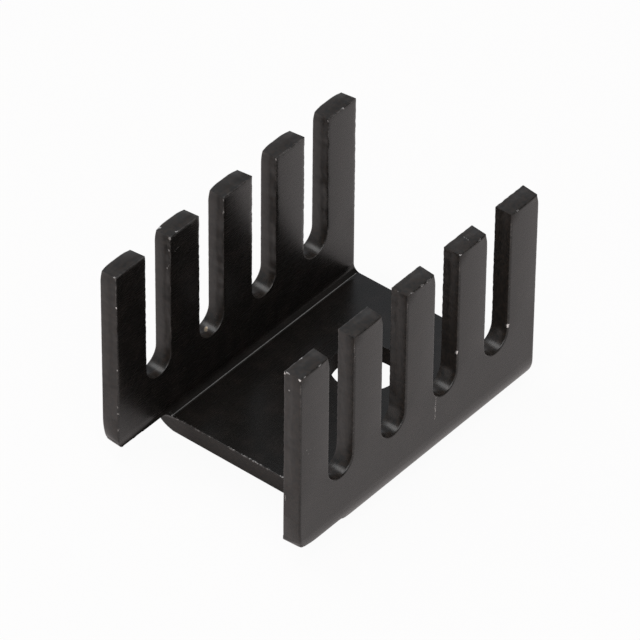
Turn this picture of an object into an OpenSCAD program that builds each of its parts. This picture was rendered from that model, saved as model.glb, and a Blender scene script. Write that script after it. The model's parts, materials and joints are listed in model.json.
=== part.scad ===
// U-channel heat sink for a power transistor with a screw tab, stamped and folded from one sheet.
// Millimetres, +Z up. The origin is under the middle of the overall box, on the underside of the base.
// The front end, where the base is cut back between the two walls, faces -Y.

/* [Channel] */
// Length of the two walls, front to rear
channel_length = 19.05; // [14:0.05:40]
// Width across the outer faces of the two walls
channel_width = 13.2; // [9:0.1:30]
// Height from the underside of the base to the fin tips
channel_height = 12.7; // [8:0.1:30]
// Thickness of the sheet
sheet = 1.1; // [0.6:0.05:1.6]
// Radius on the inside of each fold between base and wall
fold_inner_radius = 0.45; // [0.1:0.05:1.2]
// Radius that the punch leaves along the outer edges of the cuts
edge_radius = 0.1; // [0.04:0.01:0.25]

/* [Fins] */
// Fins along each wall
fin_count = 5; // [2:1:7]
// Width of the slot between two fins
slot_width = 1.9; // [1:0.05:3]
// Height of the lowest point of a slot above the underside
slot_floor = 4.1; // [2.8:0.1:7]

/* [Front relief] */
// Distance from the front ends of the walls back to the front edge of the base
base_setback = 3.9; // [1.5:0.05:8]
// Height of the free lower edge of each wall, in front of the base, at the inner face
lip_height = 1.28; // [1.2:0.02:2.4]
// Fall of that free edge from the inner to the outer face, in degrees
lip_slope = 12; // [0:1:14]
// Radius of the inner corner where that free edge runs into the fold
relief_radius = 0.5; // [0.1:0.05:0.9]
// Radius of the lower front corner of each wall, seen from the side
lip_corner_radius = 0.35; // [0.1:0.05:0.8]
// Radius along the outer lower edge of each wall, left by the punch
lip_edge_radius = 0.45; // [0.1:0.05:0.7]

/* [Screw hole] */
// Diameter of the hole for the device's screw
screw_hole_diameter = 3.75; // [2.2:0.05:5]
// Distance from the rear edge of the base to the middle of the hole
hole_from_rear = 5.72; // [3.5:0.02:8]

/* [Hidden] */
$fn = 96;
// Overshoot of every cut past the surface that it leaves
past = 1;
fold_outer_radius = fold_inner_radius + sheet;
fin_width = (channel_length - (fin_count - 1) * slot_width) / fin_count;
fin_pitch = fin_width + slot_width;
// Height at which the round bottom of a slot runs into its upright sides
slot_height = slot_floor + slot_width / 2;
front = -channel_length / 2;
rear = channel_length / 2;
wall_face = channel_width / 2;
fold_axis = wall_face - fold_outer_radius;
inner_face = wall_face - sheet;
// Height at which the relief corner starts on the outside of the fold, and the turn of the fold up to there
relief_start = max(0, lip_height - sheet * tan(lip_slope) - relief_radius);
relief_turn = 90 + asin(min(0, relief_start / fold_outer_radius - 1));
sheet_colour = "#232324";

// Flat-bottomed outline with both lower corners rounded
module trough(width, height, radius) {
    translate([-width / 2, radius])
        square([width, height - radius]);
    translate([-width / 2 + radius, 0])
        square([width - 2 * radius, radius]);
    for (side = [-1, 1])
        translate([side * (width / 2 - radius), radius])
            circle(radius);
}

// What is cut off when the lower left corner of an outline, at the origin, is rounded
module lower_corner(radius, beyond) {
    difference() {
        translate([-beyond, -beyond])
            square(beyond + radius);
        translate([radius, radius])
            circle(radius);
    }
}

// The same for the small radius along the outer edges of the cuts
module edge_corner() {
    lower_corner(edge_radius, edge_radius);
}

// The folded sheet seen from the front: base and walls of one thickness
module channel_section() {
    difference() {
        trough(channel_width, channel_height, fold_outer_radius);
        translate([0, sheet])
            trough(channel_width - 2 * sheet, channel_height, fold_inner_radius);
    }
}

// One slot seen from the side, open at the top and round at the bottom, centred on its own axis
module slot_outline() {
    translate([0, slot_height])
        circle(d = slot_width);
    translate([-slot_width / 2, slot_height])
        square([slot_width, channel_height]);
}

// The cut in front of the base seen from the side, measured from the lower front corner of the wall
module relief_outline() {
    difference() {
        translate([-past, -channel_height])
            square([past + base_setback, channel_height]);
        translate([base_setback - relief_radius, -relief_radius])
            difference() {
                square(relief_radius + past);
                circle(relief_radius);
            }
    }
    lower_corner(lip_corner_radius, past);
}

// What is cut off when the outer lower edge of the left wall is rounded, seen from the front.
// The round stands a hair proud of a tangent one, so that it meets both faces at a clear line.
module lip_edge_outline() {
    proud = lip_edge_radius / 30;
    rise = lip_edge_radius / cos(lip_slope) - (sheet - lip_edge_radius) * tan(lip_slope);
    translate([lip_edge_radius - wall_face, lip_height + rise])
        difference() {
            polygon([[0, 0], [-past, 0], [-past, -past], [past * tan(lip_slope), -past]]);
            circle(lip_edge_radius + proud);
        }
}

// A front outline drawn out along the length, from a distance behind the front to the given end
module along_length(from, to) {
    translate([0, to, 0])
        rotate([90, 0, 0])
            linear_extrude(to - from)
                children();
}

// A side outline drawn out across both walls
module across_walls() {
    translate([-wall_face - past, front, 0])
        rotate([90, 0, 90])
            linear_extrude(channel_width + 2 * past)
                children();
}

// The cut that frees the lower front corner of the left wall and the left half of the base in front
module front_relief() {
    translate([-inner_face, front, lip_height])
        rotate([0, -lip_slope, 0])
            translate([-sheet - past, 0, 0])
                rotate([90, 0, 90])
                    linear_extrude(wall_face + 2 * past)
                        relief_outline();
    along_length(front - past, front + base_setback - 1.2 * relief_radius)
        lip_edge_outline();
}

// The rounding along one upright outer edge of the left wall, at the front of a fin
module upright_edge(place, from) {
    translate([-wall_face, place, from])
        linear_extrude(channel_height)
            edge_corner();
}

// The rounding along the outer edges of the left wall's fins: uprights, slot bottoms and tips
module fin_edges() {
    for (fin = [0 : fin_count - 1]) {
        upright_edge(front + fin * fin_pitch, fin == 0 ? 0 : slot_height);
        mirror([0, 1, 0])
            upright_edge(front + fin * fin_pitch, fin == 0 ? fold_outer_radius : slot_height);
    }
    for (gap = [1 : fin_count - 1])
        translate([-wall_face, front + gap * fin_pitch - slot_width / 2, slot_height])
            rotate([0, 90, 0])
                rotate([0, 0, -90])
                    rotate_extrude(angle = 180)
                        translate([slot_width / 2, 0])
                            edge_corner();
    along_length(front - past, rear + past)
        translate([-wall_face, channel_height])
            mirror([0, 1])
                edge_corner();
}

// The rounding along the outer edge of one cut end of the base and of the left fold, facing -Y
module base_edge(place, turn) {
    translate([-fold_axis, place, 0])
        rotate([90, 0, 90])
            linear_extrude(fold_axis)
                edge_corner();
    translate([-fold_axis, place, fold_outer_radius])
        rotate([-90, 0, 0])
            rotate([0, 0, 90])
                rotate_extrude(angle = turn)
                    translate([fold_outer_radius, 0])
                        mirror([1, 0])
                            edge_corner();
}

// The folded sheet with its slots, front relief and screw hole
module heat_sink_channel() {
    color(sheet_colour)
        difference() {
            along_length(front, rear)
                channel_section();
            across_walls()
                for (gap = [1 : fin_count - 1])
                    translate([gap * fin_pitch - slot_width / 2, 0])
                        slot_outline();
            for (side = [0, 1])
                mirror([side, 0, 0]) {
                    front_relief();
                    fin_edges();
                    base_edge(front + base_setback, relief_turn);
                    mirror([0, 1, 0])
                        base_edge(front, 90);
                }
            translate([0, rear - hole_from_rear, -past])
                cylinder(d = screw_hole_diameter, h = sheet + 2 * past);
        }
}

heat_sink_channel();
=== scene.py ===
import json
import math

import bmesh
import bpy
from bpy.props import FloatProperty, FloatVectorProperty, IntProperty, PointerProperty
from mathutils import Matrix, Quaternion, Vector


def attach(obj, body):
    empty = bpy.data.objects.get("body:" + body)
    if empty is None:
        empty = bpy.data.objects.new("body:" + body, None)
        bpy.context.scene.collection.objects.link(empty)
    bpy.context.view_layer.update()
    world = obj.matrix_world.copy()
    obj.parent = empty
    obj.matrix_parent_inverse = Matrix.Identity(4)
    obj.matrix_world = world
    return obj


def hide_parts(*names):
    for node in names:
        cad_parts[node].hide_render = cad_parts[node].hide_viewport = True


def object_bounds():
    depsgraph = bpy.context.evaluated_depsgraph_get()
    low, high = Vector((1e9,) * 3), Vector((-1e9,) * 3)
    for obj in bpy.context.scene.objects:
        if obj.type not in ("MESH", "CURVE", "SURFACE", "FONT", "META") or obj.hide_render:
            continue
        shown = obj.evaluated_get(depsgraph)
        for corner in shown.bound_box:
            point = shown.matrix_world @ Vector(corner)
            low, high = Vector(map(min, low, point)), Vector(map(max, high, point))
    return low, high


bl_info = {
    "name": "U-Channel Heat Sink",
    "version": (1, 0, 0),
    "blender": (4, 5, 0),
    "location": "View3D > Sidebar > Heat Sink",
    "description": "Models a slotted heat sink folded from black anodised sheet, and its stage",
    "category": "Object",
}

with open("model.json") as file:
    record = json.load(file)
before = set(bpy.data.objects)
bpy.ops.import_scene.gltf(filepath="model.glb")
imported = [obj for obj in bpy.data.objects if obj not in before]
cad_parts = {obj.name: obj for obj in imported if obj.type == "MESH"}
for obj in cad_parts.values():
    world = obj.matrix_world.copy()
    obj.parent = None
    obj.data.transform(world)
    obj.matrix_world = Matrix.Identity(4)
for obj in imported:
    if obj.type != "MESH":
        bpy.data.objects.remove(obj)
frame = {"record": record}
cad_low, cad_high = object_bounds()
cad_size = cad_high - cad_low
MM = 0.001


def mount(name):
    """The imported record's mount of that name."""
    return next(m for m in frame["record"]["mounts"] if m["name"] == name)


screw_hole = mount("device_screw_hole")


def length_of(name, description, default):
    """A size in metres that the sidebar shows with its unit."""
    return FloatProperty(name=name, description=description, default=default, min=0, precision=5,
                         subtype="DISTANCE", unit="LENGTH")


def share_of(name, description, default):
    """A share between 0 and 1."""
    return FloatProperty(name=name, description=description, default=default, min=0, max=1,
                         subtype="FACTOR")


def number_of(name, description, default):
    """A plain number."""
    return FloatProperty(name=name, description=description, default=default, min=0)


def colour_of(name, description, default):
    """A linear colour."""
    return FloatVectorProperty(name=name, description=description, default=default, size=3,
                               min=0, max=1, subtype="COLOR")


def place_of(name, description, default):
    """A point in metres."""
    return FloatVectorProperty(name=name, description=description, default=default, size=3,
                               unit="LENGTH", subtype="TRANSLATION")


def angle_of(name, description, degrees):
    """An angle, given in degrees and kept in radians."""
    return FloatProperty(name=name, description=description, default=math.radians(degrees),
                         subtype="ANGLE")


class ChannelSizes(bpy.types.PropertyGroup):
    """Sizes of the folded sheet."""

    width: length_of("Width", "Across the outer faces of the walls", cad_size.x)
    length: length_of("Length", "Front to rear", cad_size.y)
    height: length_of("Height", "Underside of the base to the fin tips", cad_size.z)
    sheet: length_of("Sheet", "Thickness of the sheet", screw_hole["dims"]["length_mm"] * MM)
    fold_radius: length_of("Fold Radius", "Radius inside each fold", 0.45 * MM)
    fins: IntProperty(name="Fins", description="Fins along each wall", default=5, min=2)
    slot_width: length_of("Slot Width", "Gap between two fins", 1.9 * MM)
    slot_floor: length_of("Slot Floor", "Lowest point of a slot above the underside", 4.1 * MM)
    setback: length_of("Base Setback", "Front of the walls to the front of the base", 3.9 * MM)
    lip_height: length_of("Lip Height", "A wall's inner lower edge above the underside", 1.28 * MM)
    lip_slope: angle_of("Lip Slope", "Fall of that free edge from inside to outside", 12)
    relief_radius: length_of("Relief Radius", "Where the free edge meets the fold", 0.5 * MM)
    lip_corner: length_of("Lip Corner", "Radius of a wall's lower front corner", 0.25 * MM)
    hole_radius: length_of("Hole Radius", "Screw hole in the base", screw_hole["dims"]["r_mm"] * MM)
    hole_place: length_of("Hole Place", "Middle of the hole along Y", screw_hole["pos_m"][1])
    edge_roll: length_of("Edge Roll", "Radius that the punch leaves on the outer edges", 0.1 * MM)
    burr_round: length_of("Burr Round", "Radius on the inner edges of the cuts", 0.045 * MM)
    wear: length_of("Wear", "How far the edges of the fins are worn down at most", 0.03 * MM)
    tip_roll: length_of("Tip Roll", "How far the tips' outer corners are drawn in", 0.11 * MM)
    tip_reach: length_of("Tip Reach", "How far along the edges that goes", 0.8 * MM)
    lip_roll: length_of("Lip Roll", "How far the lower front corners are drawn in", 0.17 * MM)
    lip_reach: length_of("Lip Reach", "How far along the edges that goes", 1.6 * MM)


class AnodisedFinish(bpy.types.PropertyGroup):
    """Colours of the black anodised sheet and of the bare metal under it."""

    sheet_colour: colour_of("Sheet", "Dyed oxide on the rolled faces", (0.0071, 0.0062, 0.0054))
    faded_colour: colour_of("Faded", "Blotches on the rolled faces", (0.0120, 0.0096, 0.0083))
    cut_colour: colour_of("Cut", "Dyed oxide on the sheared edges", (0.0170, 0.0122, 0.0094))
    bare_colour: colour_of("Bare Metal", "Metal where the oxide has chipped", (0.82, 0.80, 0.78))
    stain_colour: colour_of("Stain", "Tan spot in a slot of the left wall", (0.80, 0.62, 0.42))
    stain_share: share_of("Stain Share", "How much the tan spot covers the dye", 0.24)
    sheet_roughness: share_of("Sheet Roughness", "Roughness of the rolled faces", 0.27)
    cut_roughness: share_of("Cut Roughness", "Roughness of the sheared edges", 0.38)
    fold_burnish: share_of("Fold Burnish", "How much smoother the inside of the folds is", 0.65)
    slot_burnish: share_of("Slot Burnish", "How much smoother the slot bottoms are", 0.26)
    bare_roughness: share_of("Bare Roughness", "Roughness of chipped metal", 0.4)


class StudioSettings(bpy.types.PropertyGroup):
    """Camera, floor and light."""

    azimuth: angle_of("Azimuth", "Camera's turn from the front to the right", 39.287)
    elevation: angle_of("Elevation", "Camera's height above the horizon", 40.387)
    roll: angle_of("Roll", "Camera's turn about its own line of sight", 0.581)
    distance: length_of("Distance", "Camera to the point it looks at", 340.607 * MM)
    aim: place_of("Aim", "Point the camera looks at", (-2.395 * MM, 2.914 * MM, 3.585 * MM))
    lens: number_of("Lens", "Focal length in millimetres on a 36 mm sensor", 368.19)
    floor_colour: colour_of("Floor", "Pale floor", (0.56, 0.51, 0.505))
    mirrored_colour: colour_of("Mirrored Floor", "Floor in the metal", (1.0, 0.94, 0.925))
    contact_shade: share_of("Contact Shade", "How much darker the floor is under the part", 0.9)
    room_colour: colour_of("Room", "Dim room round the part", (0.40, 0.42, 0.45))
    dark_colour: colour_of("Dark Side", "Dark room behind the part, to the right", (0.1, 0.1, 0.1))
    horizon_colour: colour_of("Horizon", "Paler room near the horizon", (0.67, 0.69, 0.72))
    strip_width: length_of("Strip Width", "Width of the strip light overhead", 0.34)
    strip_depth: length_of("Strip Depth", "Depth of the strip light overhead", 0.17)
    strip_place: place_of("Strip Place", "Place of the strip light", (-0.12, -0.03, 0.36))
    strip_level: number_of("Strip Level", "Brightness of the strip light", 3.7)
    key_size: length_of("Key Size", "Width of the light to the front and right", 0.34)
    key_place: place_of("Key Place", "Place of the front light", (0.2, -0.22, 0.32))
    key_level: number_of("Key Level", "Brightness of the front light", 3.4)
    rear_size: length_of("Rear Size", "Width of the small light above the rear", 0.05)
    rear_place: place_of("Rear Place", "Place of the small rear light", (0.02, 0.262, 0.36))
    rear_level: number_of("Rear Level", "Brightness of the small rear light", 3.6)


# Modelling helpers. Meshes are shaped in millimetres, because edge tools lose very small lengths,
# and are brought to metres when they are finished.

# Points that a plane passes within this distance count as lying on it
ON_PLANE = 0.0001


def only(thing):
    """Make one object the active and only selected one."""
    bpy.ops.object.select_all(action="DESELECT")
    thing.select_set(True)
    bpy.context.view_layer.objects.active = thing


def settle():
    """Put the place, turn and scale of the active object into its mesh, and give the object."""
    bpy.ops.object.transform_apply(location=True, rotation=True, scale=True)
    return bpy.context.active_object


def block(name, low, high):
    """A block between two corners."""
    bpy.ops.object.select_all(action="DESELECT")
    low = Vector(low)
    high = Vector(high)
    bpy.ops.mesh.primitive_cube_add(size=1, location=(low + high) / 2)
    made = bpy.context.active_object
    made.name = name
    made.scale = high - low
    return settle()


def edit(thing, everything=False):
    """Open a mesh in edit mode, with nothing or everything selected."""
    only(thing)
    bpy.ops.object.mode_set(mode="EDIT")
    bpy.ops.mesh.select_all(action="SELECT" if everything else "DESELECT")


def done():
    """Leave edit mode."""
    bpy.ops.object.mode_set(mode="OBJECT")


def pick(thing, kind, wanted):
    """Select the vertices, edges or faces of the open mesh that are wanted."""
    bpy.ops.mesh.select_mode(type={"verts": "VERT", "edges": "EDGE", "faces": "FACE"}[kind])
    bpy.ops.mesh.select_all(action="DESELECT")
    mesh = bmesh.from_edit_mesh(thing.data)
    chosen = [item for item in getattr(mesh, kind) if wanted(item)]
    if not chosen:
        raise RuntimeError(f"{thing.name} has none of the {kind} that were to be worked on")
    for item in chosen:
        item.select_set(True)
    bmesh.update_edit_mesh(thing.data)


def near(a, b, slack=0.005):
    """Whether two lengths in millimetres agree."""
    return abs(a - b) < slack


def edge_lies(edge, axis, **places):
    """Whether an edge runs along an axis and both its ends have the given coordinates."""
    a, b = (v.co for v in edge.verts)
    along = (b - a).normalized()
    return abs(getattr(along, axis)) > 0.99 and all(
        near(getattr(a, k), p) and near(getattr(b, k), p) for k, p in places.items())


def round_edges(radius, segments, **settings):
    """Round the selected edges of the open mesh."""
    bpy.ops.mesh.bevel(offset=radius, segments=segments, profile=0.5, affect="EDGES", **settings)


def apply(thing, kind, **settings):
    """Add a modifier and apply it at once."""
    only(thing)
    modifier = thing.modifiers.new(kind.lower(), kind)
    for name, value in settings.items():
        setattr(modifier, name, value)
    bpy.ops.object.modifier_apply(modifier=modifier.name)


def cut(thing, cutter):
    """Take the cutter out of the mesh, and discard the cutter."""
    apply(thing, "BOOLEAN", operation="DIFFERENCE", solver="EXACT", object=cutter)
    bpy.data.objects.remove(cutter)


class Drawing:
    """The channel's sizes in millimetres, with the values that follow from them."""

    # Overshoot of every cut past the surface that it leaves
    past = 1.0

    def __init__(self, sizes):
        for name in ("width", "length", "height", "sheet", "fold_radius", "slot_width",
                     "slot_floor", "setback", "lip_height", "relief_radius", "lip_corner",
                     "hole_radius", "hole_place", "edge_roll", "burr_round", "wear", "tip_roll",
                     "tip_reach", "lip_roll", "lip_reach"):
            setattr(self, name, getattr(sizes, name) / MM)
        self.fins = sizes.fins
        self.lip_slope = sizes.lip_slope
        self.side = self.width / 2
        self.front = -self.length / 2
        self.rear = self.length / 2
        self.base_front = self.front + self.setback
        self.outer_radius = self.fold_radius + self.sheet
        self.fold_axis = self.side - self.outer_radius
        self.fin_width = (self.length - (self.fins - 1) * self.slot_width) / self.fins
        self.pitch = self.fin_width + self.slot_width
        self.slot_centre = self.slot_floor + self.slot_width / 2
        self.first_slot = self.front + self.fin_width + self.slot_width / 2

    def depth(self, point):
        """How deep a point of the sheet lies under the outer surface."""
        across = abs(point.x) - self.fold_axis
        down = self.outer_radius - point.z
        corner = math.hypot(max(across, 0), max(down, 0))
        return self.outer_radius - corner - min(max(across, down), 0)

    def in_hole(self, point):
        """Whether a point lies on the wall of the screw hole."""
        return math.hypot(point.x, point.y - self.hole_place) < self.hole_radius + 0.01

    def by_relief(self, point, inwards, upwards):
        """Whether a point lies round a wall's free lower edge, or so far inwards or above it."""
        return (abs(point.x) > self.fold_axis - inwards and point.y < self.base_front + 0.1
                and point.z < self.lip_height + upwards)


def fold_half_sheet(d):
    """The right half of the folded sheet: base, fold and wall in one thickness."""
    half = block("folded_channel", (0, d.front, 0), (d.side, d.rear, d.height))
    edit(half)
    pick(half, "faces",
         lambda f: f.normal.z > 0.9 or abs(f.normal.y) > 0.9 or f.normal.x < -0.9)
    bpy.ops.mesh.delete(type="FACE")
    pick(half, "edges", lambda e: edge_lies(e, "y", x=d.side, z=0))
    round_edges(d.outer_radius, 14)
    done()
    apply(half, "SOLIDIFY", thickness=d.sheet, offset=-1, use_even_offset=True)
    return half


def bar_across(sides, radius, middle, length, y, z):
    """A round bar across the channel."""
    bpy.ops.object.select_all(action="DESELECT")
    bpy.ops.mesh.primitive_cylinder_add(vertices=sides, radius=radius, depth=length,
                                        location=(middle, y, z), rotation=(0, math.pi / 2, 0))
    return settle()


def slot_punch(d):
    """Round-nosed punches that cut all the slots of a wall at one stroke."""
    punch = bar_across(64, d.slot_width / 2, d.side - d.sheet / 2, d.sheet + 2 * d.past,
                       d.first_slot, d.slot_centre)
    edit(punch, everything=True)
    bpy.ops.mesh.bisect(plane_co=(0, 0, d.slot_centre), plane_no=(0, 0, 1), use_fill=True,
                        clear_outer=True, threshold=ON_PLANE)
    pick(punch, "faces",
         lambda f: f.normal.z > 0.9 and near(f.calc_center_median().z, d.slot_centre))
    bpy.ops.mesh.extrude_region_move(TRANSFORM_OT_translate={"value": (0, 0, d.height)})
    done()
    apply(punch, "ARRAY", count=d.fins - 1, use_relative_offset=False, use_constant_offset=True,
          constant_offset_displace=(0, d.pitch, 0))
    return punch


def tilt_punch(punch, d):
    """Turn a punch about a wall's inner lower edge, so that its cut falls towards the outside."""
    edit(punch, everything=True)
    bpy.ops.transform.rotate(value=-d.lip_slope, orient_axis="Y",
                             center_override=(d.side - d.sheet, 0, d.lip_height))
    done()


def relief_punch(d):
    """The punch that frees the lower front corner of a wall from the base."""
    punch = block("relief_punch", (-d.past, d.front - d.past, -3 * d.past),
                  (d.side + d.past, d.base_front, d.lip_height))
    edit(punch)
    pick(punch, "edges", lambda e: edge_lies(e, "x", y=d.base_front, z=d.lip_height))
    round_edges(d.relief_radius, 8)
    done()
    tilt_punch(punch, d)
    return punch


def corner_punch(d):
    """The punch that rounds the lower front corner of a wall, seen from the side."""
    radius = d.lip_corner
    y = d.front + radius
    z = d.lip_height + radius
    punch = block("corner_punch", (d.fold_axis, d.front - d.past, d.lip_height - d.past),
                  (d.side + d.past, y, z))
    cut(punch, bar_across(24, radius, d.side, 4 * d.past, y, z))
    tilt_punch(punch, d)
    return punch


def hole_drill(d):
    """The punch for the screw hole."""
    bpy.ops.object.select_all(action="DESELECT")
    bpy.ops.mesh.primitive_cylinder_add(vertices=96, radius=d.hole_radius,
                                        depth=d.sheet + 2 * d.past,
                                        location=(0, d.hole_place, d.sheet / 2))
    return settle()


def divide_walls(thing, d):
    """Cross-cut the walls into small faces, so that their edges can be rolled and worn unevenly."""
    margin = 1.6 * d.edge_roll
    columns = 14
    rows = 44
    lip_rows = 10
    above_slot = 0.1
    above_lip = 0.45

    def in_wall(face):
        in_corner = face.normal.y < -0.05 and face.normal.z < -0.05
        return face.calc_center_median().x > d.fold_axis and not in_corner

    def in_first_fin(face):
        return in_wall(face) and face.calc_center_median().y < d.front + d.fin_width

    def divide(wanted, place, way):
        pick(thing, "faces", wanted)
        bpy.ops.mesh.bisect(plane_co=place, plane_no=way, threshold=ON_PLANE)

    edit(thing)
    for fin in range(d.fins):
        start = d.front + fin * d.pitch + margin
        for column in range(columns + 1):
            y = start + column * (d.fin_width - 2 * margin) / columns
            divide(in_wall, (0, y, 0), (0, 1, 0))
    low = d.slot_centre + above_slot
    step = (d.height - margin - low) / rows
    for row in range(rows + 1):
        divide(in_wall, (0, 0, low + row * step), (0, 0, 1))
    for row in range(lip_rows):
        divide(in_first_fin, (0, 0, d.lip_height + above_lip + row * step), (0, 0, 1))
    done()


def round_rims(thing, d):
    """Roll the outer edges of the cuts, and break the inner ones away from the front relief."""
    sharp = math.radians(35)
    slack = 0.2

    def rim(edge, level, left_out):
        ends = [v.co for v in edge.verts]
        return (len(edge.link_faces) == 2 and edge.calc_face_angle() > sharp
                and not any(left_out(p) for p in ends)
                and all(near(d.depth(p), level, slack) for p in ends))

    edit(thing)
    pick(thing, "edges", lambda e: rim(e, 0, d.in_hole))
    round_edges(d.edge_roll, 4, clamp_overlap=False)
    pick(thing, "edges", lambda e: rim(e, d.sheet, lambda p: d.by_relief(p, 0.15, 0.36)))
    round_edges(d.burr_round, 2, clamp_overlap=False)
    done()


def even_relief(thing, d):
    """Even out the points round the front relief, where the cuts cross the facets of the fold."""
    crowded = 0.025
    skin = 0.25

    def at_bend(vertex):
        place = vertex.co
        at_lip = place.y < d.front + 0.5 and place.z < d.lip_height + 0.2
        at_base = d.base_front - 0.6 < place.y < d.base_front + 0.15 and place.z < d.lip_height
        in_fold = abs(place.x) > d.fold_axis + 0.3
        return d.depth(place) < skin and in_fold and (at_lip or at_base)

    edit(thing)
    pick(thing, "verts", lambda v: d.by_relief(v.co, 0, 0.4))
    bpy.ops.mesh.remove_doubles(threshold=crowded)
    pick(thing, "verts", at_bend)
    bpy.ops.mesh.vertices_smooth(factor=0.5, repeat=6)
    done()


def roll_corners(thing, d, corners, reach, **moves):
    """Draw the walls' outer corners at the given places and heights along the normal or an axis."""
    group = "drawn"
    drawn = thing.vertex_groups.new(name=group)
    for vertex in thing.data.vertices:
        place = Vector((abs(vertex.co.x), vertex.co.y, vertex.co.z))
        away = min((place - Vector((d.side, y, z))).length for y, z in corners)
        if away < reach:
            drawn.add([vertex.index], (1 - away / reach) ** 2, "REPLACE")
    for direction, amount in moves.items():
        apply(thing, "DISPLACE", direction=direction, mid_level=0.0, strength=amount,
              vertex_group=group)
    thing.vertex_groups.clear()


def wear_rims(thing, d):
    """Wear the fins' edges down unevenly. Points only move inwards, so the size stays."""
    flat = 0.985
    outer_share = 0.3
    rims = thing.vertex_groups.new(name="rims")
    for vertex in thing.data.vertices:
        if vertex.co.z > d.slot_centre and max(abs(n) for n in vertex.normal) < flat:
            burr = d.depth(vertex.co) > d.sheet / 2
            rims.add([vertex.index], 1.0 if burr else outer_share, "REPLACE")
    chips = bpy.data.textures.new("rim_wear", "CLOUDS")
    chips.noise_scale = 0.16
    chips.noise_depth = 2
    chips.contrast = 2.2
    chips.intensity = 0.75
    chips.use_clamp = True
    apply(thing, "DISPLACE", texture=chips, texture_coords="LOCAL", direction="NORMAL",
          mid_level=0.0, strength=-d.wear, vertex_group=rims.name)
    thing.vertex_groups.clear()


def model_channel(sizes):
    """The whole folded channel, made as a right half and mirrored."""
    d = Drawing(sizes)
    channel = fold_half_sheet(d)
    cut(channel, slot_punch(d))
    cut(channel, relief_punch(d))
    cut(channel, corner_punch(d))
    cut(channel, hole_drill(d))
    edit(channel, everything=True)
    bpy.ops.mesh.remove_doubles(threshold=0.0005)
    pick(channel, "faces", lambda f: f.normal.x < -0.9 and near(f.calc_center_median().x, 0))
    bpy.ops.mesh.delete(type="FACE")
    done()

    divide_walls(channel, d)
    roll_corners(channel, d, [(d.front, d.lip_height)], d.lip_reach,
                 X=-d.lip_roll / 4, Y=d.lip_roll, Z=d.lip_roll)
    apply(channel, "MIRROR", use_axis=(True, False, False), use_mirror_merge=True,
          merge_threshold=0.001)
    round_rims(channel, d)
    even_relief(channel, d)
    ends = [d.front + fin * d.pitch + side for fin in range(d.fins) for side in (0, d.fin_width)]
    roll_corners(channel, d, [(end, d.height) for end in ends], d.tip_reach, NORMAL=-d.tip_roll)
    wear_rims(channel, d)

    edit(channel, everything=True)
    bpy.ops.mesh.normals_make_consistent(inside=False)
    done()
    channel.scale = (MM, MM, MM)
    settle()
    bpy.ops.object.shade_smooth_by_angle(angle=math.radians(40))
    apply(channel, "WEIGHTED_NORMAL", keep_sharp=True)
    return channel


class Signal:
    """One output of a shader node. Arithmetic on it adds Math nodes."""

    def __init__(self, shader, socket):
        self.shader = shader
        self.socket = socket

    def math(self, operation, *values):
        """A Math node with this signal and the given values."""
        return self.shader.node("ShaderNodeMath", {"operation": operation},
                                dict(enumerate((self, *values))))

    def __add__(self, other):
        return self.math("ADD", other)

    __radd__ = __add__

    def __mul__(self, other):
        return self.math("MULTIPLY", other)

    __rmul__ = __mul__

    def __sub__(self, other):
        return self.math("SUBTRACT", other)

    def __rsub__(self, other):
        return self * -1 + other

    def __mod__(self, other):
        return self.math("FLOORED_MODULO", other)

    def __abs__(self):
        return self.math("ABSOLUTE")

    def least(self, other):
        """The smaller of two signals."""
        return self.math("MINIMUM", other)

    def most(self, other):
        """The larger of two signals."""
        return self.math("MAXIMUM", other)

    def span(self, other):
        """The length of a vector that has this signal and the other as its parts."""
        return (self * self + other * other).math("SQRT")

    def rise(self, low, high):
        """0 below the low value, 1 above the high one, smooth between. High below low turns it."""
        if high < low:
            return 1 - self.rise(high, low)
        return self.shader.node("ShaderNodeMapRange", {"interpolation_type": "SMOOTHSTEP"},
                                {"Value": self, "From Min": low, "From Max": high})


class Shader:
    """The node tree of one material, or of the world."""

    def __init__(self, owner):
        self.owner = owner
        owner.use_nodes = True
        self.tree = owner.node_tree
        self.tree.nodes.clear()

    def node(self, kind, settings=None, sockets=None, output=0):
        """Add a node, set its settings, fill or link its sockets, and give one of its outputs."""
        made = self.tree.nodes.new(kind)
        for name, value in (settings or {}).items():
            setattr(made, name, value)
        for name, value in (sockets or {}).items():
            if isinstance(value, Signal):
                self.tree.links.new(value.socket, made.inputs[name])
            else:
                made.inputs[name].default_value = value
        return Signal(self, made.outputs[output])

    def mix(self, share, first, second):
        """A colour between two colours."""
        return self.node("ShaderNodeMix", {"data_type": "RGBA"}, {0: share, 6: first, 7: second},
                         output=2)

    def noise(self, vector, scale, detail, output=0):
        """Smooth noise between 0 and 1, about 0.5 on average."""
        return self.node("ShaderNodeTexNoise",
                         sockets={"Vector": vector, "Scale": scale, "Detail": detail},
                         output=output)

    def vector(self, x, y, z):
        """Three signals as one vector."""
        return self.node("ShaderNodeCombineXYZ", sockets={0: x, 1: y, 2: z})

    def part(self, vector, axis):
        """One of the three parts of a vector."""
        return self.node("ShaderNodeSeparateXYZ", sockets={0: vector}, output=axis)

    def vector_math(self, operation, *values, output=0):
        """A Vector Math node with the given values."""
        return self.node("ShaderNodeVectorMath", {"operation": operation},
                         dict(enumerate(values)), output)

    def scaled(self, vector, factor):
        """A vector times a number."""
        return self.node("ShaderNodeVectorMath", {"operation": "SCALE"}, {0: vector, 3: factor})

    def surface(self, shading):
        """Use a shader as the surface, and give the material or world."""
        world = isinstance(self.owner, bpy.types.World)
        kind = "ShaderNodeOutputWorld" if world else "ShaderNodeOutputMaterial"
        output = self.tree.nodes.new(kind)
        self.tree.links.new(shading.socket, output.inputs["Surface"])
        return self.owner


def opaque(colour):
    """A colour with its alpha."""
    return (*colour, 1.0)


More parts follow.
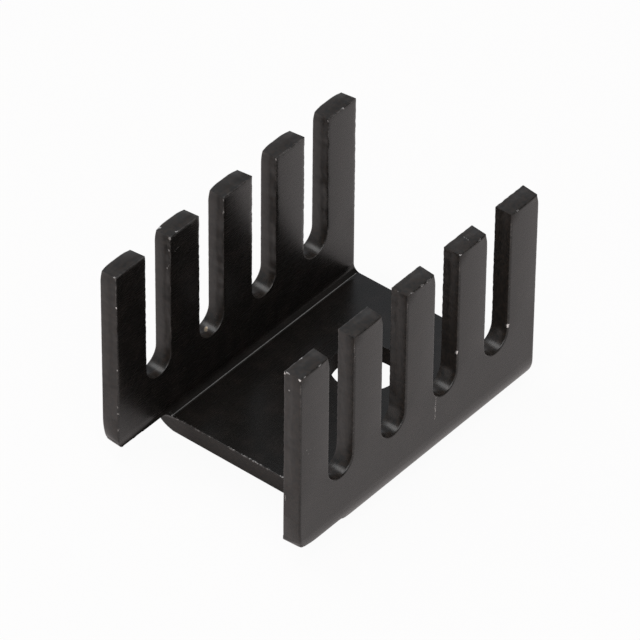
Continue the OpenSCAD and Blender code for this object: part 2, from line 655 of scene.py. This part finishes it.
# Marks that show bare metal: two ends and half the width in millimetres, and how bare the metal is
MARKS = (
    # Right wall, first fin: the tip's outer front corner, front edge, outer edge and inner edge
    ((6.40, -9.50, 12.64), (6.52, -9.48, 12.56), 0.06, 1.0),
    ((5.66, -9.50, 12.68), (5.86, -9.50, 12.66), 0.03, 0.6),
    ((5.54, -9.50, 12.60), (5.54, -9.50, 12.50), 0.045, 0.8),
    ((6.55, -9.20, 12.65), (6.55, -9.10, 12.66), 0.03, 0.7),
    ((6.57, -8.10, 12.68), (6.57, -7.90, 12.68), 0.03, 0.9),
    ((5.53, -8.32, 12.68), (5.53, -8.18, 12.68), 0.035, 0.8),
    ((5.87, -9.53, 11.63), (5.88, -9.53, 11.60), 0.03, 0.5),
    ((5.62, -9.53, 4.60), (5.66, -9.53, 4.20), 0.02, 0.4),
    # Right wall, a patch of fine specks on the first fin
    ((6.60, -9.28, 7.66), (6.60, -9.26, 7.64), 0.03, 0.14),
    ((6.60, -9.04, 7.74), (6.60, -8.98, 7.72), 0.03, 0.18),
    ((6.60, -8.87, 7.42), (6.60, -8.84, 7.42), 0.03, 0.14),
    ((6.60, -8.71, 7.59), (6.60, -8.66, 7.58), 0.03, 0.18),
    ((6.60, -8.38, 7.51), (6.60, -8.35, 7.52), 0.03, 0.12),
    # Left wall, down the front edge of the first fin
    ((-5.52, -9.51, 10.76), (-5.52, -9.51, 10.69), 0.05, 0.9),
    ((-5.51, -9.50, 6.56), (-5.51, -9.50, 6.50), 0.045, 0.45),
    ((-5.55, -9.52, 4.12), (-5.53, -9.52, 4.04), 0.04, 0.2),
    ((-5.51, -9.50, 3.66), (-5.51, -9.50, 3.58), 0.045, 0.25),
    ((-5.51, -9.50, 2.56), (-5.51, -9.50, 2.48), 0.045, 0.2),
    # Left wall, tips of the first and second fins
    ((-5.68, -9.50, 12.68), (-5.60, -9.50, 12.68), 0.03, 0.6),
    ((-6.52, -5.15, 12.68), (-6.50, -5.00, 12.68), 0.08, 0.7),
    ((-5.54, -5.31, 12.64), (-5.54, -5.31, 12.58), 0.06, 0.6),
    ((-5.60, -5.34, 11.86), (-5.60, -5.34, 11.80), 0.05, 0.6),
    ((-5.62, -4.78, 12.69), (-5.58, -4.66, 12.69), 0.04, 0.5),
    ((-5.77, -5.34, 10.45), (-5.55, -5.34, 10.95), 0.02, 0.5),
    ((-5.50, -4.99, 11.60), (-5.50, -4.66, 11.74), 0.025, 0.45),
    # Left wall, the other tips
    ((-5.53, -1.12, 12.56), (-5.53, -1.12, 12.48), 0.04, 0.5),
    ((-5.53, -1.12, 11.80), (-5.53, -1.12, 11.66), 0.04, 0.4),
    ((-5.54, 3.06, 12.62), (-5.54, 3.06, 12.54), 0.05, 0.6),
    ((-5.54, 7.24, 12.60), (-5.54, 7.24, 12.56), 0.04, 0.6),
    ((-5.54, 8.36, 12.68), (-5.54, 8.48, 12.68), 0.03, 0.8),
    # Right wall, the other tips
    ((6.56, -5.34, 12.66), (6.56, -5.30, 12.64), 0.045, 0.9),
    ((6.56, -3.10, 12.66), (6.56, -3.02, 12.66), 0.04, 0.5),
    ((5.76, -1.14, 12.66), (6.00, -1.14, 12.66), 0.035, 0.25),
    ((6.57, -0.96, 12.66), (6.57, -0.72, 12.66), 0.055, 0.3),
    ((6.57, -0.05, 12.66), (6.57, 0.10, 12.66), 0.045, 0.5),
    ((6.57, 0.42, 12.66), (6.57, 0.74, 12.66), 0.045, 0.35),
    ((6.56, 3.08, 12.66), (6.56, 3.14, 12.64), 0.07, 0.7),
    ((6.57, 4.60, 12.68), (6.57, 4.80, 12.68), 0.04, 0.5),
    ((5.79, 4.34, 12.70), (6.21, 4.27, 12.70), 0.02, 0.35),
    ((6.52, 7.26, 12.66), (6.55, 7.26, 12.62), 0.06, 0.6),
    ((6.57, 7.45, 12.68), (6.57, 7.80, 12.68), 0.04, 0.6),
    # Right wall, low on the edges of the last two fins, and a hairline below a slot
    ((6.57, 7.25, 5.32), (6.57, 7.25, 5.26), 0.1, 1.0),
    ((6.50, 3.04, 6.16), (6.58, 3.06, 6.24), 0.07, 1.0),
    ((6.60, 1.35, 4.32), (6.60, 1.29, 2.93), 0.025, 0.45),
)

# A tan spot in the second slot of the left wall: two ends and half the width in millimetres
STAIN = ((-6.10, -1.87, 4.13), (-5.99, -2.03, 4.10), 0.09)


def stroke(s, place, start, end, width):
    """1 inside a stroke between two points, and 0 outside."""
    run = Vector(end) - Vector(start)
    away = s.vector_math("SUBTRACT", place, start)
    share = s.vector_math("DOT_PRODUCT", away, run / run.length_squared, output=1)
    along = s.scaled(run, share.most(0).least(1))
    return s.vector_math("DISTANCE", away, along, output=1).rise(1.25 * width, 0.6 * width)


def bare_marks(s, place):
    """How bare the metal is at the marks, with ragged rims."""
    ragged = s.noise(place, 9, 2, output=1)
    shift = s.vector_math("MULTIPLY_ADD", ragged, (0.2, 0.2, 0.2), (-0.1, -0.1, -0.1))
    moved = s.vector_math("ADD", place, shift)
    bare = None
    for start, end, width, share in MARKS:
        mark = stroke(s, moved, start, end, width) * share
        bare = mark if bare is None else bare.most(mark)
    return bare


def anodised_material(finish, sizes):
    """Black anodised sheet, with duller sheared edges and specks of bare metal."""
    d = Drawing(sizes)
    s = Shader(bpy.data.materials.new("black_anodised_sheet"))
    metres = s.node("ShaderNodeTexCoord", output=3)
    place = s.scaled(metres, 1 / MM)
    x, y, z = (s.part(place, axis) for axis in range(3))

    # Depth under the outer surface, and distance from the nearest cut edge of a wall
    across = abs(x) - d.fold_axis
    down = d.outer_radius - z
    depth = d.outer_radius - across.most(0).span(down.most(0)) - across.most(down).least(0)
    along = abs((y - (d.first_slot - d.pitch / 2)) % d.pitch - d.pitch / 2)
    edge = (along.span((d.slot_centre - z).most(0)) - d.slot_width / 2).least(d.height - z)
    sheared = depth.rise(0.1 * d.edge_roll, 0.6 * d.edge_roll)
    sheared = sheared * depth.rise(d.sheet, d.sheet - d.burr_round)
    rim = edge.span(depth.least(d.sheet - depth))

    # Rolling lines, scuffs and blotches on the faces, and torn streaks on the sheared edges
    grain = s.noise(s.vector(x * 9, y * 0.35, z * 9), 1, 3)
    scuff = s.noise(s.vector(x * 3, y * 5 - z * 6, (y + z) * 0.4), 1, 3)
    blotch = s.noise(place, 0.9, 3)
    tear = s.noise(s.vector(depth * 9, (y + z) * 0.8, y - z), 1, 3)
    wander = s.noise(place, 0.7, 2)
    mottle = s.noise(place, 5, 4)

    # Bare metal: the marks, specks and a little polish along the rims, most of it near the tips,
    # chips on the front rim of the base, and the tan spot
    near_tip = z.rise(d.height - 2.5, d.height - 0.3)
    on_rim = rim.rise(0.09, 0.04) * (edge + 1).rise(0.5, 0.8)
    speck = s.noise(place, 13, 1).rise(0.70, 0.78) * (0.15 + near_tip * 0.4)
    polish = mottle.rise(0.2, 0.8) * (0.02 + near_tip * 0.08)
    on_base = (y - d.base_front).span(d.sheet - depth).rise(0.1, 0.05) * z.rise(1.3, 1.15)
    chips = s.noise(place, 7, 3).rise(0.5, 0.66) * wander.rise(0.4, 0.6) * 0.35
    stain = stroke(s, place, *STAIN)
    bare = bare_marks(s, place).most(speck.most(polish) * on_rim).most(chips * on_base)
    bare = bare.most(stain * finish.stain_share)
    bright = s.mix(stain, opaque(finish.bare_colour), opaque(finish.stain_colour))

    # The fins bulge a little between their cut edges, the outside starts to turn above the fold,
    # the sheared edges have a groove where the metal broke, and the folds and slot bottoms are
    # burnished. Heights are in millimetres.
    from_middle = along - d.pitch / 2
    bulge = from_middle * from_middle * -0.03 * z.rise(d.slot_floor, d.slot_centre + 1)
    turn = z.rise(d.outer_radius + 0.35, d.outer_radius - 0.45) * -0.05
    groove = abs(depth + (wander - 0.5) * 0.5 - 0.75 * d.sheet).rise(0.28, 0) * sheared * -0.014
    groove = groove * z.rise(d.slot_centre - 0.3, d.slot_centre + 0.8)
    in_fold = across.rise(-0.1, 0.1) * across.rise(0.4, 0.2)
    in_fold = in_fold * depth.rise(0.5 * d.sheet, 0.9 * d.sheet)
    in_slot = z.rise(d.slot_centre, d.slot_centre - 0.4) * sheared
    smooth = 1 - (in_fold * finish.fold_burnish).most(in_slot * finish.slot_burnish)
    texture = grain * 0.001 + scuff * 0.001 + mottle * 0.0016 + sheared * tear * 0.004
    height = bulge + turn + groove + texture
    bump = s.node("ShaderNodeBump", sockets={"Strength": 1.0, "Distance": 1 * MM, "Height": height})

    dye = s.mix(blotch.rise(0.4, 0.75), opaque(finish.sheet_colour), opaque(finish.faded_colour))
    rough = finish.sheet_roughness + (grain - 0.5) * 0.1 + scuff.rise(0.6, 0.75) * 0.05
    sheet = s.node("ShaderNodeBsdfPrincipled",
                   sockets={"Base Color": dye, "Roughness": rough * smooth, "IOR": 1.45,
                            "Normal": bump})
    dye = s.mix(mottle.rise(0.3, 0.7), opaque(finish.sheet_colour), opaque(finish.cut_colour))
    rough = finish.cut_roughness + (tear - 0.5) * 0.15
    shear = s.node("ShaderNodeBsdfPrincipled",
                   sockets={"Base Color": dye, "Roughness": rough * smooth, "IOR": 1.42,
                            "Normal": bump})
    metal = s.node("ShaderNodeBsdfPrincipled",
                   sockets={"Base Color": bright, "Metallic": 1.0,
                            "Roughness": finish.bare_roughness, "Normal": bump})
    oxide = s.node("ShaderNodeMixShader", sockets={0: sheared, 1: sheet, 2: shear})
    return s.surface(s.node("ShaderNodeMixShader", sockets={0: bare, 1: oxide, 2: metal}))


class HEATSINK_OT_fold_channel(bpy.types.Operator):
    """Model the slotted channel folded from one sheet, in its anodised finish"""

    bl_idname = "heatsink.fold_channel"
    bl_label = "Fold Channel"

    def execute(self, context):
        sizes = context.scene.channel_sizes
        channel = model_channel(sizes)
        channel.data.materials.clear()
        channel.data.materials.append(anodised_material(context.scene.anodised_finish, sizes))
        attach(channel, "root")
        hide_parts("heat_sink_channel")
        return {"FINISHED"}


def pale_floor(studio, sizes):
    """Pale floor that shows white to the camera, with part of the shadow that falls on it, and
    painted shade under the part.
    """
    white_share = 0.95
    mirrored_share = 0.6
    s = Shader(bpy.data.materials.new("pale_floor"))
    place = s.node("ShaderNodeTexCoord", output=3)
    x, y = (s.part(place, axis) for axis in (0, 1))
    camera, glossy, through = (s.node("ShaderNodeLightPath", output=k) for k in (0, 3, 6))

    # Painted shade: the floor's own colour, and the white that the metal mirrors, are darkened
    # under the part and just round it
    rear = sizes.length / 2
    base_front = sizes.setback - rear
    under = (sizes.width / 2 - abs(x)).rise(-1 * MM, 5 * MM)
    under = under.least((rear - y).rise(-3 * MM, 0.3 * MM))
    under = under.least((y - base_front).rise(-3.5 * MM, 1.8 * MM))
    shade = under * studio.contact_shade

    lit_colour = s.mix(shade, opaque(studio.floor_colour), opaque((0, 0, 0)))
    lit = s.node("ShaderNodeBsdfDiffuse", sockets={"Color": lit_colour})
    white_colour = s.mix(camera, opaque(studio.mirrored_colour), opaque((1, 1, 1)))
    white = s.node("ShaderNodeEmission", sockets={"Color": white_colour, "Strength": 1.0})
    share = (camera.most(through) * white_share).most(glossy * (1 - shade) * mirrored_share)
    return s.surface(s.node("ShaderNodeMixShader", sockets={0: share, 1: lit, 2: white}))


def softbox(place, width, depth, level):
    """A light that faces down, with a face of the given brightness."""
    bpy.ops.object.light_add(type="AREA", location=place)
    lamp = bpy.context.active_object.data
    lamp.shape = "RECTANGLE"
    lamp.size = width
    lamp.size_y = depth
    lamp.energy = level * math.pi * width * depth


def dim_room(studio):
    """A dim room that is paler near the horizon, and dark behind the part to the right."""
    s = Shader(bpy.data.worlds.new("room"))
    way = s.node("ShaderNodeTexCoord", output=0)
    right, behind, up = (s.part(way, axis) for axis in range(3))
    room = s.mix(up.rise(0.4, 0.56), opaque(studio.horizon_colour), opaque(studio.room_colour))
    dark = right.rise(-0.2, 0.05) * behind.rise(0, 0.3)
    colour = s.mix(dark, room, opaque(studio.dark_colour))
    return s.surface(s.node("ShaderNodeBackground", sockets={"Color": colour}))


def add_camera(context, studio):
    """The camera at its place round the part."""
    level = math.cos(studio.elevation)
    back = Vector((math.sin(studio.azimuth) * level, -math.cos(studio.azimuth) * level,
                   math.sin(studio.elevation)))
    bpy.ops.object.camera_add(location=Vector(studio.aim) + back * studio.distance)
    camera = context.active_object
    turn = (-back).to_track_quat("-Z", "Y") @ Quaternion((0, 0, 1), studio.roll)
    camera.rotation_euler = turn.to_euler()
    camera.data.sensor_width = 36
    camera.data.lens = studio.lens
    camera.data.clip_start = 0.01
    camera.data.clip_end = 20
    context.scene.camera = camera


class HEATSINK_OT_set_stage(bpy.types.Operator):
    """Set up the floor, the soft light and the camera"""

    bl_idname = "heatsink.set_stage"
    bl_label = "Set Stage"

    def execute(self, context):
        studio = context.scene.studio
        bpy.ops.object.select_all(action="DESELECT")
        bpy.ops.mesh.primitive_plane_add(size=6, location=(0, 0, -0.02 * MM))
        floor = settle()
        floor.name = "floor"
        floor.data.materials.append(pale_floor(studio, context.scene.channel_sizes))
        softbox(studio.strip_place, studio.strip_width, studio.strip_depth, studio.strip_level)
        softbox(studio.key_place, studio.key_size, studio.key_size, studio.key_level)
        softbox(studio.rear_place, studio.rear_size, studio.rear_size, studio.rear_level)
        context.scene.world = dim_room(studio)
        add_camera(context, studio)
        context.scene.view_settings.view_transform = "Standard"
        return {"FINISHED"}


class HEATSINK_PT_builder(bpy.types.Panel):
    """Sizes, finish and stage of the heat sink"""

    bl_idname = "HEATSINK_PT_builder"
    bl_label = "U-Channel Heat Sink"
    bl_space_type = "VIEW_3D"
    bl_region_type = "UI"
    bl_category = "Heat Sink"

    def draw(self, context):
        for scene_name, kind in GROUPS.items():
            box = self.layout.box()
            for name in kind.__annotations__:
                box.prop(getattr(context.scene, scene_name), name)
        for operator in OPERATORS:
            self.layout.operator(operator.bl_idname)


OPERATORS = (HEATSINK_OT_fold_channel, HEATSINK_OT_set_stage)
GROUPS = {
    "channel_sizes": ChannelSizes,
    "anodised_finish": AnodisedFinish,
    "studio": StudioSettings,
}


def register():
    for group in GROUPS.values():
        bpy.utils.register_class(group)
    for name, group in GROUPS.items():
        setattr(bpy.types.Scene, name, PointerProperty(type=group))
    for cls in (*OPERATORS, HEATSINK_PT_builder):
        bpy.utils.register_class(cls)


def unregister():
    for cls in (HEATSINK_PT_builder, *reversed(OPERATORS)):
        bpy.utils.unregister_class(cls)
    for name, group in GROUPS.items():
        delattr(bpy.types.Scene, name)
        bpy.utils.unregister_class(group)


def main():
    register()
    bpy.ops.heatsink.fold_channel()
    bpy.ops.heatsink.set_stage()


if __name__ == "__main__":
    main()
